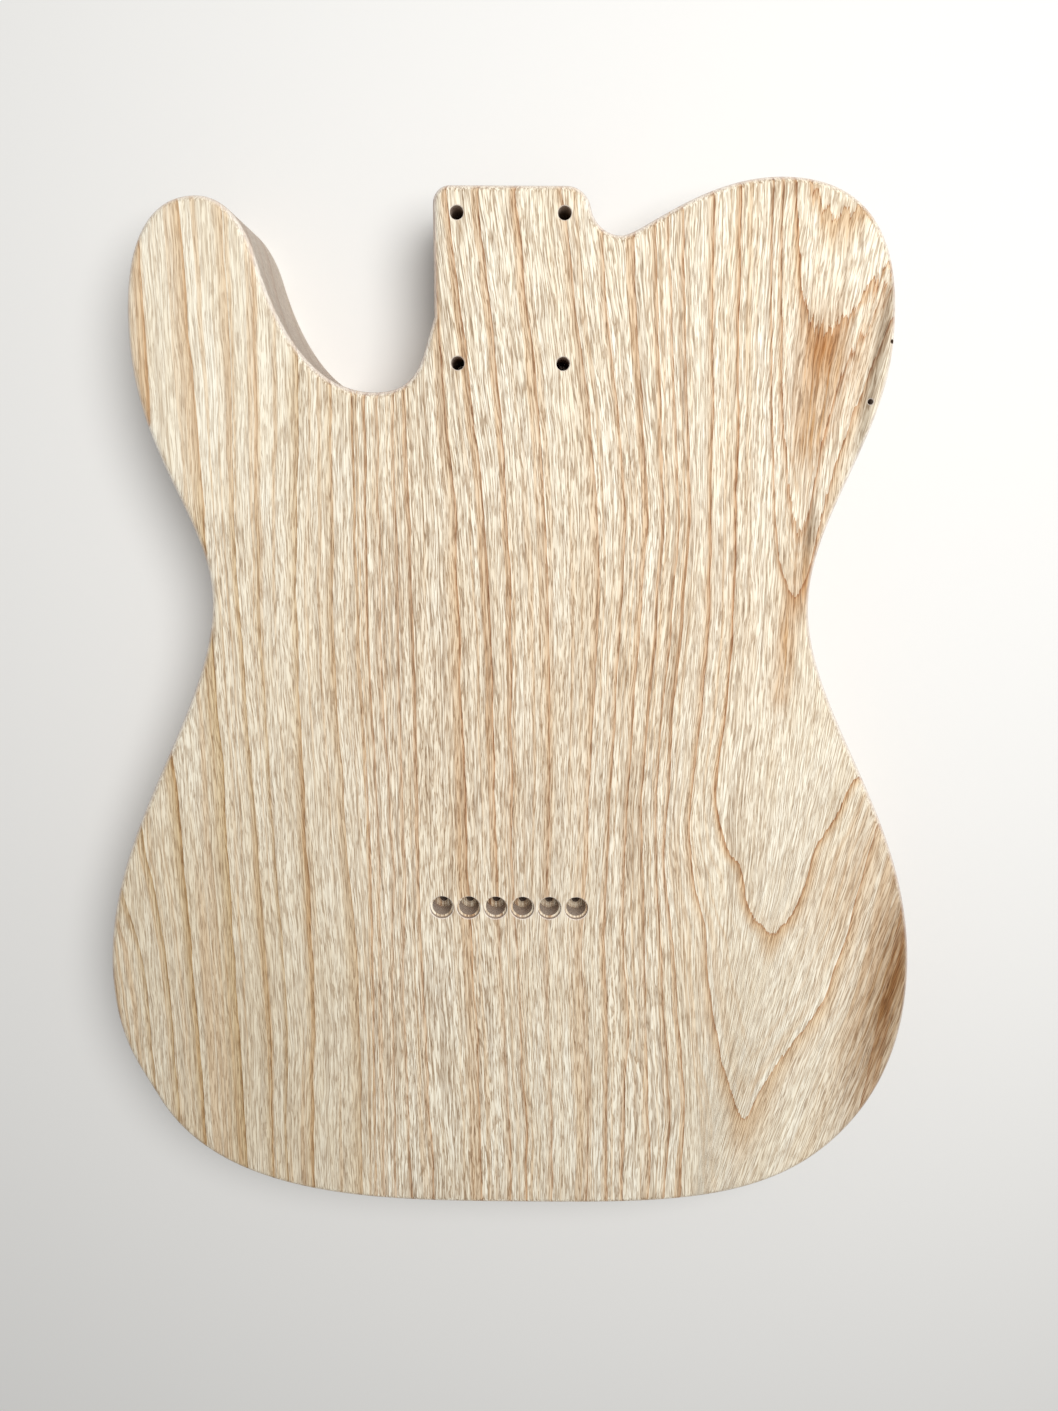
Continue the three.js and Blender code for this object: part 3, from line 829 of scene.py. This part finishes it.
def figured(piece, rings, fibres, board):
    """Writes the figure of the wood to a piece's points, for its materials to read."""
    mesh = piece.data
    flat = np.zeros(len(mesh.vertices) * 3, np.float32)
    mesh.vertices.foreach_get("co", flat)
    x, y, z = flat.reshape(-1, 3).T.astype(float) / MM
    depth = THICKNESS - z
    slope_x, slope_y = BOARD_SLOPES[board]
    side = np.tanh((CREST_X - x) / CREST_REACH)
    deep_x, deep_y = x + slope_x * depth * side, y + slope_y * depth
    ring = looked_up(rings, deep_x, deep_y)
    up, right = np.gradient(rings, TABLE_STEP)
    rise = looked_up(up, deep_x, deep_y)
    pitch = 1 / np.maximum(np.hypot(rise, looked_up(right, deep_x, deep_y)), LEAST_RINGS)
    numbers = np.arange(len(RING_STRENGTHS)) - 0.5
    strength = np.interp(ring, numbers, RING_STRENGTHS)
    strength *= np.interp(x, EDGE_FADE, (1, EDGE_STRENGTH))
    strength *= 1 - marked(FAINT_RINGS, x, y)
    share = np.interp(ring, numbers, RING_SHARES)
    frays = [RING_FRAYS.get(n, PLAIN_FRAY) for n in range(len(RING_STRENGTHS))]
    fray = rise * np.interp(ring, numbers, frays)
    bands = [most * np.exp(-(((x - middle) / half) ** 2)) for middle, half, most in FINE_BANDS]
    fineness = PLAIN_FINENESS + sum(bands)
    fade = np.exp(-depth / STAIN_DEPTH)
    sets = {
        "figure": (ring, looked_up(fibres, x, y) + BOARD_SHIFTS[board], pitch),
        "latewood": (fray, share, strength),
        "marks": (marked(BROWN_MARKS, x, y) * fade, marked(GREY_MARKS, x, y) * fade, fineness),
    }
    for name, values in sets.items():
        attribute = mesh.attributes.new(name, "FLOAT_VECTOR", "POINT")
        attribute.data.foreach_set("vector", np.column_stack(values).astype(np.float32).ravel())


# Materials


def linear(red, green, blue):
    """A colour given as 0 to 255 on a screen, as a shader's own colour."""
    def one(value):
        share = value / 255
        return share / 12.92 if share <= 0.04045 else ((share + 0.055) / 1.055) ** 2.4
    return (one(red), one(green), one(blue), 1)


CREAM = linear(255, 249, 231)
LATEWOOD = linear(226, 193, 152)
OLIVE_BAND = linear(222, 197, 150)
RING_LINE = linear(194, 147, 106)
OLIVE_LINE = linear(193, 160, 110)
STREAK = linear(236, 220, 194)
THREAD = linear(160, 128, 90)
PORE = linear(136, 104, 68)
CLOUD = linear(228, 220, 208)
BROWN = linear(206, 163, 112)
GREY = linear(140, 124, 102)
# A pale painted highlight for the rounded rims
RIM_HIGHLIGHT = linear(252, 244, 240)
# Painted shade for the sides
SIDE_SHADE = linear(214, 208, 203)
# Painted shade deep in the bores and pockets
BORE_SHADE = linear(148, 124, 100)
GLUE = linear(206, 168, 122)
FLOOR = linear(238, 237, 234)
BACKDROP = linear(238, 238, 238)


class Surface:
    """A material whose nodes are put in by short calls. Places in it are millimetres."""

    def __init__(self, name):
        self.material = bpy.data.materials.new(name)
        self.material.use_nodes = True
        self.tree = self.material.node_tree
        self.shader = self.tree.nodes["Principled BSDF"]

    def put(self, kind, **settings):
        node = self.tree.nodes.new(kind)
        for name, value in settings.items():
            setattr(node, name, value)
        return node

    def feed(self, socket, value):
        """Links a node's output to a socket, or sets the socket to a plain value."""
        if isinstance(value, bpy.types.NodeSocket):
            self.tree.links.new(value, socket)
        else:
            socket.default_value = value

    def shade(self, name, value):
        """Feeds one of the shader's own inputs."""
        self.feed(self.shader.inputs[name], value)

    def math(self, operation, *values):
        node = self.put("ShaderNodeMath", operation=operation)
        for socket, value in zip(node.inputs, values):
            self.feed(socket, value)
        return node.outputs[0]

    def times(self, a, b):
        return self.math("MULTIPLY", a, b)

    def plus(self, a, b):
        return self.math("ADD", a, b)

    def rest(self, value):
        """What a value leaves of one."""
        return self.math("SUBTRACT", 1, value)

    def raised(self, value, base, gain):
        """A base, and a gain in step with the value."""
        return self.plus(base, self.times(value, gain))

    def ramp(self, value, low, high, start=0, end=1):
        """From start at low to end at high, and level outside."""
        node = self.put("ShaderNodeMapRange", interpolation_type="SMOOTHSTEP")
        for socket, given in zip(node.inputs, (value, low, high, start, end)):
            self.feed(socket, given)
        return node.outputs[0]

    def fall(self, value, low, high):
        """From one at low to nothing at high, and level outside."""
        return self.ramp(value, low, high, 1, 0)

    def mix(self, share, a, b, way="MIX"):
        node = self.put("ShaderNodeMix", data_type="RGBA", blend_type=way)
        self.feed(node.inputs["Factor"], share)
        sockets = [socket for socket in node.inputs if socket.type == "RGBA"]
        for socket, colour in zip(sockets, (a, b)):
            self.feed(socket, colour)
        return next(socket for socket in node.outputs if socket.type == "RGBA")

    def tint(self, share, colour, by):
        return self.mix(share, colour, by, "MULTIPLY")

    def split(self, vector):
        node = self.put("ShaderNodeSeparateXYZ")
        self.feed(node.inputs[0], vector)
        return node.outputs

    def stored(self, name):
        """The three values that figured() wrote under a name."""
        return self.split(self.put("ShaderNodeAttribute", attribute_name=name).outputs["Vector"])

    def millimetres(self):
        """A point's place on the object along the three directions."""
        metres = self.split(self.put("ShaderNodeTexCoord").outputs["Object"])
        return [self.times(along, 1 / MM) for along in metres]

    def scaled(self, place, sizes):
        """A place counted in the given sizes along the three directions."""
        node = self.put("ShaderNodeCombineXYZ")
        for socket, along, size in zip(node.inputs, place, sizes):
            self.feed(socket, self.times(along, 1 / size))
        return node.outputs[0]

    def noise(self, place, sizes, detail, roughness=0.5):
        """Noise whose blobs have the given sizes along the three directions."""
        node = self.put("ShaderNodeTexNoise")
        self.feed(node.inputs["Vector"], self.scaled(place, sizes))
        self.feed(node.inputs["Scale"], 1)
        self.feed(node.inputs["Detail"], detail)
        self.feed(node.inputs["Roughness"], roughness)
        return node.outputs["Fac"]

    def swing(self, place, *noise):
        """Noise that goes both ways from nought."""
        return self.plus(self.noise(place, *noise), -NOISE_MIDDLE)

    def cells(self, place, sizes):
        """The distance to the nearest of scattered points, where cells have the given sizes."""
        node = self.put("ShaderNodeTexVoronoi")
        self.feed(node.inputs["Vector"], self.scaled(place, sizes))
        self.feed(node.inputs["Scale"], 1)
        return node.outputs["Distance"]

    def bump(self, height, distance):
        node = self.put("ShaderNodeBump")
        self.feed(node.inputs["Height"], height)
        self.feed(node.inputs["Distance"], distance * MM)
        return node.outputs[0]


# Each noise as the sizes of its blobs across, along and through the wood, its detail, and its
# roughness where that isn't one half. The layers' noise is counted in rings across the wood.
SWAY_NOISE = ((8, 24, 8), 1)
WRIGGLE_NOISE = ((2.2, 7, 2.2), 1)
WANDER_NOISE = ((14, 34, 14), 3)
FRAY_NOISE = ((1.5, 70, 1.5), 3, 0.7)
LAYER_NOISE = ((0.16, 300, 90), 2)
FINE_LINE_NOISE = ((0.8, 90, 0.8), 1)
STREAK_NOISE = ((1.9, 40, 1.9), 3, 0.6)
THIN_LINE_NOISE = ((1.1, 26, 1.1), 1)
STAGGER_NOISE = ((4, 150, 4), 1)
THREAD_NOISE = ((0.5, 9, 0.5), 1)
FLECK_NOISE = ((0.5, 2.2, 0.5), 0)
BROAD_NOISE = ((12, 80, 12), 2)
CHATTER_NOISE = ((1.1, 1.1, 22), 2)
GLUE_NOISE = ((2, 14, 4), 3)
PORE_SIZES = (0.6, 6, 0.6)
NOISE_MIDDLE = 0.5

# The two levels between which each pattern comes in, or goes out
LAYER_LEVELS = (0.5, 0.66)
FINE_LINE_LEVELS = (0.5, 0.56)
STREAK_LEVELS = (0.4, 0.64)
THIN_LINE_LEVELS = (0.01, 0.05)
THREAD_LEVELS = (0.48, 0.55)
FLECK_LEVELS = (0.48, 0.6)
PORE_LEVELS = (0.12, 0.38)
BROAD_LEVELS = (0.35, 0.65)
TURN_LEVELS = (-0.6, 0.8)
GLUE_LEVELS = (0.4, 0.62)

# How far fibres sway and wriggle, ring lines wander, and threads are staggered
SWAY = 2
WRIGGLE = 0.35
WANDER = 3.2
STAGGER = 50

# Widths within a ring, and how the layers weaken from narrow to wide rings
LEAST_BAND = 2.2
LINE_WIDTH = 1.3
EARLY_REACH = (0.4, 3.4)
LAYER_PITCH = (14, 40)
LAYER_CHANGE = (1, 0.35)

# Where the wood changes: the olive treble side, the horn, the cloud on the lower treble side, the
# calmer grain away from the middle, and the depths over which painted shade darkens the bores
OLIVE_REACH = (-110, -20)
HORN_ACROSS = (-95, -75)
HORN_ALONG = (60, 120)
CLOUD_ACROSS = (-120, 0)
CLOUD_ALONG = (-110, 60)
CALM_REACH = (25, 75)
CALM_CHANGE = (0.32, 0.42)
CLOUD_CALM = 0.1
HORN_CALM = 0.2
HORN_SOFTNESS = 0.75
BORE_SHADE_REACH = (2.4, 11)

# Which way a face has to point to count as end grain, as a rim or as a side
END_FACING = (0.3, 1)
RIM_FACING = (0.6, 0.98)
SIDE_FACING = (0.1, 0.5)

# How strong each tint is. Of two values, the second is what another pattern adds
BAND_AMOUNT = 0.8
LINE_AMOUNT = (0.6, 0.3)
FINE_LINE_AMOUNT = 0.42
LAYER_AMOUNT = 0.45
STREAK_AMOUNT = 0.2
BROAD_AMOUNT = 0.2
CLOUD_AMOUNT = 0.6
THIN_LINE_AMOUNT = (0.2, 0.3)
THREAD_AMOUNT = (0.66, 0.3)
PORE_AMOUNT = (0.35, 0.3)
BROWN_AMOUNT = (0.55, 0.4)
BROWN_BAND_AMOUNT = 0.2
GREY_AMOUNT = (0.7, 0.3)
END_AMOUNT = 0.3
# How strong the rims' painted highlight is
RIM_HIGHLIGHT_AMOUNT = 0.45
# How much painted shade the bores get at depth, and how much less the string holes get
BORE_SHADE_AMOUNT = 0.85
STRING_HOLE_SHADE_RELIEF = 0.65
TURN_AMOUNT = 0.2
GLUE_GAP_AMOUNT = 0.6

# Relief, as shares of a surface's depth in millimetres, roughness and shine
GRAIN_DEPTH = 0.06
PORE_RISE = -1
THREAD_RISE = -0.4
CHATTER_RISE = 1.6
TURN_RISE = 2
GLUE_DEPTH = 0.02
WOOD_ROUGHNESS = (0.56, 0.14)
ROUTED_ROUGHNESS = 0.12
WOOD_SHINE = 0.3
GLUE_ROUGHNESS = (0.42, 0.2)

# The drill's marks: the step from ring to ring, and the width over which they end
TURN_STEP = 1.5
TURN_FADE = 0.4


def drill_marks(s, x, y):
    """Rings that the drill left in the string holes, round each hole's own middle."""
    aside = s.plus(s.math("WRAP", x, STRING_PITCH, 0), -STRING_PITCH / 2)
    along = s.plus(y, -STRING_ROW_Y)
    radius = s.math("SQRT", s.plus(s.times(aside, aside), s.times(along, along)))
    rings = s.ramp(s.math("SINE", s.times(radius, 2 * math.pi / TURN_STEP)), *TURN_LEVELS)
    inside = s.fall(radius, FLANGE_BORE / 2, FLANGE_BORE / 2 + TURN_FADE)
    row_end = STRING_PITCH * STRING_COUNT / 2
    inside = s.times(inside, s.fall(s.math("ABSOLUTE", x), row_end, row_end + TURN_FADE))
    return s.times(rings, inside), inside


def growth(s, ring, pitch, spot, place):
    """A ring's dark band, the line that ends it, the early wood after the line, and its layers."""
    frayed, share, strength = s.stored("latewood")
    _, y, below = place

    # Ring lines wander, and fray where they cross the fibres
    wander = s.swing(spot, *WANDER_NOISE)
    fray = s.swing(place, *FRAY_NOISE)
    moved = s.plus(ring, s.math("DIVIDE", s.times(wander, WANDER), pitch))
    moved = s.plus(moved, s.times(fray, frayed))
    phase = s.math("FRACT", moved)
    before = s.times(s.rest(phase), pitch)
    after = s.times(phase, pitch)
    band = s.math("MAXIMUM", s.times(pitch, share), LEAST_BAND)
    late = s.times(s.fall(before, 0, band), strength)
    line = s.times(s.fall(before, 0, LINE_WIDTH), strength)
    early = s.fall(after, *EARLY_REACH)
    layers = s.ramp(s.noise((moved, y, below), *LAYER_NOISE), *LAYER_LEVELS)
    layers = s.times(layers, s.ramp(pitch, *LAYER_PITCH, *LAYER_CHANGE))
    return late, line, early, layers


def grain(s, place):
    """Long streaks, thin lines, short threads, the flecks in them, and open pores."""
    across, y, below = place
    streak = s.ramp(s.noise(place, *STREAK_NOISE), *STREAK_LEVELS)
    level = s.math("ABSOLUTE", s.swing(place, *THIN_LINE_NOISE))
    thin = s.fall(level, *THIN_LINE_LEVELS)

    # Without a stagger the threads would lie in rows
    stagger = s.times(s.noise(place, *STAGGER_NOISE), STAGGER)
    place = (across, s.plus(y, stagger), below)
    thread = s.ramp(s.noise(place, *THREAD_NOISE), *THREAD_LEVELS)
    fleck = s.ramp(s.noise(place, *FLECK_NOISE), *FLECK_LEVELS)
    pores = s.fall(s.cells(place, PORE_SIZES), *PORE_LEVELS)
    return streak, thin, thread, fleck, pores


def edged(s, colour):
    """The sides get a greyish painted shade and their end grain is darker, and the rims get a pale
    painted highlight.
    """
    facing = s.split(s.put("ShaderNodeNewGeometry").outputs["Normal"])
    upright = s.math("ABSOLUTE", facing[2])
    end = s.ramp(s.math("ABSOLUTE", facing[1]), *END_FACING)
    rim = s.fall(upright, *RIM_FACING)
    colour = s.tint(s.times(end, END_AMOUNT), colour, LATEWOOD)
    # A pale painted highlight on the rounded rims
    colour = s.mix(s.times(rim, RIM_HIGHLIGHT_AMOUNT), colour, RIM_HIGHLIGHT)
    # Painted shade on the sides
    return s.tint(s.fall(upright, *SIDE_FACING), colour, SIDE_SHADE)


def wood(name, routed):
    """Open-grained ash. Routed faces are rougher, with the cutter's marks, and darker with depth as
    painted shade.
    """
    s = Surface(name)
    ring, fibre, pitch = s.stored("figure")
    brown, grey, fineness = s.stored("marks")
    x, y, z = s.millimetres()

    # Noise is strongest on a whole step of its depth, so depth is counted from the back face
    below = s.plus(z, -THICKNESS)
    spot = (fibre, y, below)

    # Fibres sway and wriggle a little on their way
    sway = s.times(s.swing(spot, *SWAY_NOISE), SWAY)
    wriggle = s.times(s.swing(spot, *WRIGGLE_NOISE), WRIGGLE)
    place = (s.plus(fibre, s.plus(sway, wriggle)), y, below)
    late, line, early, layers = growth(s, ring, pitch, spot, place)
    streak, thin, thread, fleck, pores = grain(s, place)
    fine = s.times(s.ramp(s.noise(place, *FINE_LINE_NOISE), *FINE_LINE_LEVELS), fineness)
    broad = s.ramp(s.noise(spot, *BROAD_NOISE), *BROAD_LEVELS)

    # A ring's band and line are more olive on the treble side, and softer and redder on the horn
    horn = s.times(s.fall(fibre, *HORN_ACROSS), s.ramp(y, *HORN_ALONG))
    line = s.times(line, s.rest(s.times(horn, HORN_SOFTNESS)))
    warmth = s.math("MAXIMUM", s.ramp(fibre, *OLIVE_REACH), horn)
    band_colour = s.mix(warmth, OLIVE_BAND, LATEWOOD)
    line_colour = s.mix(warmth, OLIVE_LINE, RING_LINE)
    colour = s.tint(s.times(late, BAND_AMOUNT), CREAM, band_colour)
    colour = s.tint(s.times(line, s.raised(thread, *LINE_AMOUNT)), colour, line_colour)
    for pattern, amount, tint in (
        (fine, FINE_LINE_AMOUNT, THREAD),
        (layers, LAYER_AMOUNT, LATEWOOD),
        (streak, STREAK_AMOUNT, STREAK),
        (broad, BROAD_AMOUNT, STREAK),
    ):
        colour = s.tint(s.times(pattern, amount), colour, tint)

    # The grain is calmer away from the middle, and the lower treble side is a little darker
    cloud = s.times(s.fall(fibre, *CLOUD_ACROSS), s.fall(y, *CLOUD_ALONG))
    calm = s.ramp(s.math("ABSOLUTE", x), *CALM_REACH, *CALM_CHANGE)
    calm = s.plus(calm, s.plus(s.times(cloud, CLOUD_CALM), s.times(horn, HORN_CALM)))
    contrast = s.rest(calm)
    colour = s.tint(s.times(cloud, CLOUD_AMOUNT), colour, CLOUD)
    for pattern, other, amounts, tint in (
        (thin, thread, THIN_LINE_AMOUNT, THREAD),
        (thread, fleck, THREAD_AMOUNT, THREAD),
        (pores, early, PORE_AMOUNT, PORE),
    ):
        share = s.times(contrast, s.raised(other, *amounts))
        colour = s.tint(s.times(pattern, share), colour, tint)
    patch = s.plus(s.times(late, BROWN_BAND_AMOUNT), s.raised(streak, *BROWN_AMOUNT))
    colour = s.tint(s.times(brown, patch), colour, BROWN)
    colour = s.tint(s.times(grey, s.raised(streak, *GREY_AMOUNT)), colour, GREY)
    colour = edged(s, colour)
    height = s.plus(s.times(pores, PORE_RISE), s.times(thread, THREAD_RISE))
    roughness = s.raised(thread, *WOOD_ROUGHNESS)
    if routed:
        turned, drilled = drill_marks(s, x, y)
        # Painted shade: routed faces darken with depth from the nearer face, less in the string
        # holes, and a little more on the drill's rings
        under = s.math("MINIMUM", z, s.math("SUBTRACT", THICKNESS, z))
        dark = s.math("SUBTRACT", BORE_SHADE_AMOUNT, s.times(drilled, STRING_HOLE_SHADE_RELIEF))
        dark = s.plus(dark, s.times(turned, TURN_AMOUNT))
        colour = s.tint(s.times(s.ramp(under, *BORE_SHADE_REACH), dark), colour, BORE_SHADE)
        chatter = s.times(s.noise((x, y, z), *CHATTER_NOISE), CHATTER_RISE)
        height = s.plus(height, s.plus(chatter, s.times(turned, TURN_RISE)))
        roughness = s.plus(roughness, ROUTED_ROUGHNESS)
    s.shade("Base Color", colour)
    s.shade("Roughness", roughness)
    s.shade("Normal", s.bump(height, GRAIN_DEPTH))
    s.shade("Specular IOR Level", WOOD_SHINE)
    return s.material


def glue():
    """Dried wood glue, a little amber, with small gaps where the boards meet closely."""
    s = Surface("dried_glue")
    gaps = s.ramp(s.noise(s.millimetres(), *GLUE_NOISE), *GLUE_LEVELS)
    s.shade("Base Color", s.mix(s.times(gaps, GLUE_GAP_AMOUNT), GLUE, CREAM))
    s.shade("Roughness", s.raised(gaps, *GLUE_ROUGHNESS))
    s.shade("Normal", s.bump(gaps, GLUE_DEPTH))
    return s.material


# Stage

FLOOR_HALF = 4
FLOOR_DROP = 0.3
FLOOR_ROUGHNESS = 0.9
FLOOR_SHINE = 0.1
KEY_AT = Vector((0.25, 0.27, 0.84))
KEY_AIM = Vector((0.03, 0.06, 0))
KEY_SIZE = 0.6
KEY_POWER = 7.4
WORLD_LIGHT = 0.35


def make_stage():
    signs = ((-1, -1), (1, -1), (1, 1), (-1, 1))
    corners = [(x * FLOOR_HALF, y * FLOOR_HALF, -FLOOR_DROP * MM) for x, y in signs]
    mesh = bpy.data.meshes.new("floor")
    mesh.from_pydata(corners, [], [(0, 1, 2, 3)])
    floor = linked("floor", mesh)
    s = Surface("floor")
    s.shade("Base Color", FLOOR)
    s.shade("Roughness", FLOOR_ROUGHNESS)
    s.shade("Specular IOR Level", FLOOR_SHINE)
    mesh.materials.append(s.material)


def make_lights():
    lamp = bpy.data.lights.new("key", "AREA")
    lamp.shape = "DISK"
    lamp.size = KEY_SIZE
    lamp.energy = KEY_POWER
    key = linked("key", lamp)
    key.location = KEY_AT
    key.rotation_mode = "QUATERNION"
    key.rotation_quaternion = (KEY_AIM - KEY_AT).to_track_quat("-Z", "Y")
    world = bpy.data.worlds.new("studio")
    world.use_nodes = True
    bpy.context.scene.world = world
    tree = world.node_tree
    background = tree.nodes["Background"]
    background.inputs["Color"].default_value = BACKDROP
    path = tree.nodes.new("ShaderNodeLightPath")
    level = tree.nodes.new("ShaderNodeMapRange")
    level.inputs["To Min"].default_value = WORLD_LIGHT
    tree.links.new(path.outputs["Is Camera Ray"], level.inputs["Value"])
    tree.links.new(level.outputs["Result"], background.inputs["Strength"])


# The scene


def dressed(piece, node, materials):
    """Gives a piece its place in the model, its smooth shading and its materials."""
    piece.data.shade_smooth()
    piece.data.set_sharp_from_angle(angle=SHARP_ANGLE)
    for i, material in enumerate(materials):
        piece.data.materials[i] = material
    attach(piece, "root")
    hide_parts(node)


def build_body():
    body = machined_body()
    rings, fibres = ring_table(), fibre_table()
    ash = [wood("sanded_ash", False), wood("routed_ash", True)]
    amber = glue()
    outer_x = LOWER_BOUT_WIDTH / 2 + OVERRUN
    cuts = (
        ("treble", "treble_board", -outer_x, -BOARD_X),
        ("centre", "centre_board", -SEAM_X, SEAM_X),
        ("bass", "bass_board", BOARD_X, outer_x),
    )
    for name, node, low_x, high_x in cuts:
        board = sawn(body, name, low_x, high_x)
        figured(board, rings, fibres, name)
        dressed(board, node, ash)
    seams = (
        ("treble_seam", "treble_glue_line", -BOARD_X, -SEAM_X),
        ("bass_seam", "bass_glue_line", SEAM_X, BOARD_X),
    )
    for name, node, low_x, high_x in seams:
        dressed(sawn(body, name, low_x, high_x), node, [amber, amber])
    removed(body)


bpy.context.scene.view_settings.view_transform = "Standard"
make_camera()
make_stage()
make_lights()
build_body()
